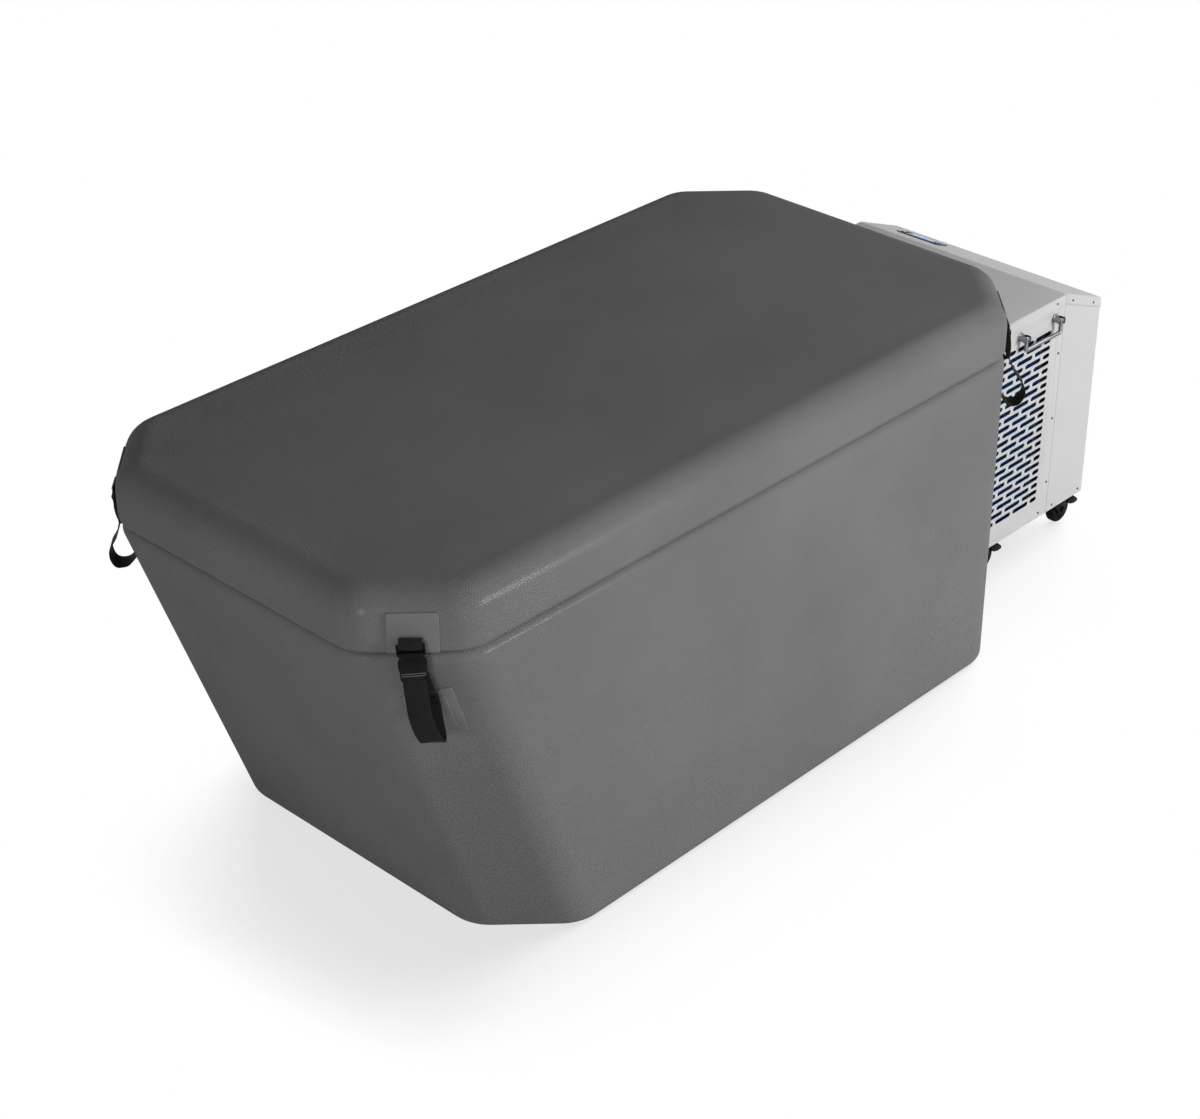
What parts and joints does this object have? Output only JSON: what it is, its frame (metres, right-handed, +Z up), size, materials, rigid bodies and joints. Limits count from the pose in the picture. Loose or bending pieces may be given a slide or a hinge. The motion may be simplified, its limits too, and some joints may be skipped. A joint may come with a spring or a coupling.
{
  "type": "cold plunge tub",
  "caption": "Inflatable eight-sided cold plunge tub with a sloping backrest and strapped lid, and a water chiller on swivel casters.",
  "frame": {"origin": "on the floor, at the centre of the bounding box of tub, lid and chiller", "axes": "+X along the tub from the backrest to the chiller, +Y to the left seen from the backrest, +Z up"},
  "size_m": [2.194, 0.876, 0.8003],
  "materials": {
    "skin": "matte coated drop-stitch skin with a fine dotted emboss",
    "webbing": "woven black webbing and coated patches",
    "buckle": "moulded, satin",
    "fitting": "moulded, matte",
    "cabinet": "light grey powder coat",
    "zinc": "zinc-plated sheet",
    "chrome": "polished",
    "display": "black frame over a blue display",
    "button": "satin key caps",
    "caster": "black, satin",
    "wheel": "hard black tread",
    "fins": "blue-coated fins",
    "motor": "black, satin"
  },
  "bodies": {
    "tub": {"tub_wall": "skin", "tub_floor": "skin", "strap_head_left": "webbing", "strap_head_right": "webbing", "strap_foot_left": "webbing", "strap_foot_right": "webbing", "buckle_male_head_left": "buckle", "buckle_male_head_right": "buckle", "buckle_male_foot_left": "buckle", "buckle_male_foot_right": "buckle", "tub_air_valve": "fitting", "drain_fitting": "fitting", "suction_fitting": "fitting", "return_fitting": "fitting"},
    "tub_valve_cap": {"tub_valve_cap": "fitting"},
    "drain_cap": {"drain_cap": "fitting"},
    "lid": {"lid": "skin", "lid_loop_head_left": "webbing", "lid_loop_head_right": "webbing", "lid_loop_foot_left": "webbing", "lid_loop_foot_right": "webbing", "buckle_female_head_left": "buckle", "buckle_female_head_right": "buckle", "buckle_female_foot_left": "buckle", "buckle_female_foot_right": "buckle", "lid_air_valve": "fitting"},
    "lid_valve_cap": {"lid_valve_cap": "fitting"},
    "chiller": {"base_pan": "zinc", "tub_side_panel": "cabinet", "grille_panel_left": "cabinet", "grille_panel_right": "cabinet", "rear_panel": "cabinet", "top_cover": "cabinet", "display_panel": "display", "handle_mount_left": "chrome", "handle_mount_right": "chrome", "condenser_coil": "fins", "fan_shroud": "zinc", "compressor": "motor", "water_pump": "motor", "port_block": "fitting", "power_inlet": "fitting"},
    "button_up": {"button_up": "button"},
    "button_down": {"button_down": "button"},
    "button_power": {"button_power": "button"},
    "handle_bail_left": {"handle_bail_left": "chrome"},
    "handle_bail_right": {"handle_bail_right": "chrome"},
    "fan": {"cooling_fan": "motor"},
    "fork_rear_right": {"caster_fork_rear_right": "caster"},
    "wheel_rear_right": {"caster_wheel_rear_right": "wheel"},
    "pedal_rear_right": {"caster_pedal_rear_right": "caster"},
    "fork_rear_left": {"caster_fork_rear_left": "caster"},
    "wheel_rear_left": {"caster_wheel_rear_left": "wheel"},
    "pedal_rear_left": {"caster_pedal_rear_left": "caster"},
    "fork_front_right": {"caster_fork_front_right": "caster"},
    "wheel_front_right": {"caster_wheel_front_right": "wheel"},
    "pedal_front_right": {"caster_pedal_front_right": "caster"},
    "fork_front_left": {"caster_fork_front_left": "caster"},
    "wheel_front_left": {"caster_wheel_front_left": "wheel"},
    "pedal_front_left": {"caster_pedal_front_left": "caster"}
  },
  "joints": [
    {"name": "lid_lift", "type": "slide", "parent": "tub", "child": "lid", "axis": [0, 0, 1], "range_m": [0, 0.15]},
    {"name": "tub_valve_turn", "type": "hinge", "parent": "tub", "child": "tub_valve_cap", "pos_m": [0.603, 0.25, 0.62], "axis": [1, 0, 0], "range_deg": [0, 90]},
    {"name": "lid_valve_turn", "type": "hinge", "parent": "lid", "child": "lid_valve_cap", "pos_m": [0.603, 0.25, 0.7248], "axis": [1, 0, 0], "range_deg": [0, 90]},
    {"name": "drain_cap_turn", "type": "hinge", "parent": "tub", "child": "drain_cap", "pos_m": [0.603, 0.2, 0.14], "axis": [1, 0, 0], "range_deg": [0, 540]},
    {"name": "chiller_roll", "type": "slide", "parent": "tub", "child": "chiller", "axis": [1, 0, 0], "range_m": [0, 0.25]},
    {"name": "button_up_press", "type": "slide", "parent": "chiller", "child": "button_up", "axis": [-0.369, 0, -0.9294], "range_m": [0, 0.001], "stiffness_N_per_m": 250, "springref_m": -0.0005},
    {"name": "button_down_press", "type": "slide", "parent": "chiller", "child": "button_down", "axis": [-0.369, 0, -0.9294], "range_m": [0, 0.001], "stiffness_N_per_m": 250, "springref_m": -0.0005},
    {"name": "button_power_press", "type": "slide", "parent": "chiller", "child": "button_power", "axis": [-0.369, 0, -0.9294], "range_m": [0, 0.001], "stiffness_N_per_m": 250, "springref_m": -0.0005},
    {"name": "handle_left_swing", "type": "hinge", "parent": "chiller", "child": "handle_bail_left", "pos_m": [0.811, 0.288, 0.578], "axis": [1, 0, 0], "range_deg": [-8, 110]},
    {"name": "handle_right_swing", "type": "hinge", "parent": "chiller", "child": "handle_bail_right", "pos_m": [0.811, -0.288, 0.578], "axis": [-1, 0, 0], "range_deg": [-8, 110]},
    {"name": "fan_spin", "type": "hinge", "parent": "chiller", "child": "fan", "pos_m": [0.7545, -0.2207, 0.33], "axis": [0, 1, 0], "continuous": true},
    {"name": "caster_rear_right_swivel", "type": "hinge", "parent": "chiller", "child": "fork_rear_right", "pos_m": [1.015, -0.214, 0.086], "axis": [0, 0, 1], "continuous": true},
    {"name": "caster_rear_right_roll", "type": "hinge", "parent": "fork_rear_right", "child": "wheel_rear_right", "pos_m": [1.042, -0.214, 0.0315], "axis": [0, 1, 0], "continuous": true},
    {"name": "caster_rear_right_brake", "type": "hinge", "parent": "fork_rear_right", "child": "pedal_rear_right", "pos_m": [1.049, -0.214, 0.072], "axis": [0, -1, 0], "range_deg": [0, 22]},
    {"name": "caster_rear_left_swivel", "type": "hinge", "parent": "chiller", "child": "fork_rear_left", "pos_m": [1.015, 0.214, 0.086], "axis": [0, 0, 1], "continuous": true},
    {"name": "caster_rear_left_roll", "type": "hinge", "parent": "fork_rear_left", "child": "wheel_rear_left", "pos_m": [1.042, 0.214, 0.0315], "axis": [0, 1, 0], "continuous": true},
    {"name": "caster_rear_left_brake", "type": "hinge", "parent": "fork_rear_left", "child": "pedal_rear_left", "pos_m": [1.049, 0.214, 0.072], "axis": [0, -1, 0], "range_deg": [0, 22]},
    {"name": "caster_front_right_swivel", "type": "hinge", "parent": "chiller", "child": "fork_front_right", "pos_m": [0.729, -0.214, 0.086], "axis": [0, 0, 1], "continuous": true},
    {"name": "caster_front_right_roll", "type": "hinge", "parent": "fork_front_right", "child": "wheel_front_right", "pos_m": [0.756, -0.214, 0.0315], "axis": [0, 1, 0], "continuous": true},
    {"name": "caster_front_right_brake", "type": "hinge", "parent": "fork_front_right", "child": "pedal_front_right", "pos_m": [0.763, -0.214, 0.072], "axis": [0, -1, 0], "range_deg": [0, 22]},
    {"name": "caster_front_left_swivel", "type": "hinge", "parent": "chiller", "child": "fork_front_left", "pos_m": [0.729, 0.214, 0.086], "axis": [0, 0, 1], "continuous": true},
    {"name": "caster_front_left_roll", "type": "hinge", "parent": "fork_front_left", "child": "wheel_front_left", "pos_m": [0.756, 0.214, 0.0315], "axis": [0, 1, 0], "continuous": true},
    {"name": "caster_front_left_brake", "type": "hinge", "parent": "fork_front_left", "child": "pedal_front_left", "pos_m": [0.763, 0.214, 0.072], "axis": [0, -1, 0], "range_deg": [0, 22]}
  ]
}
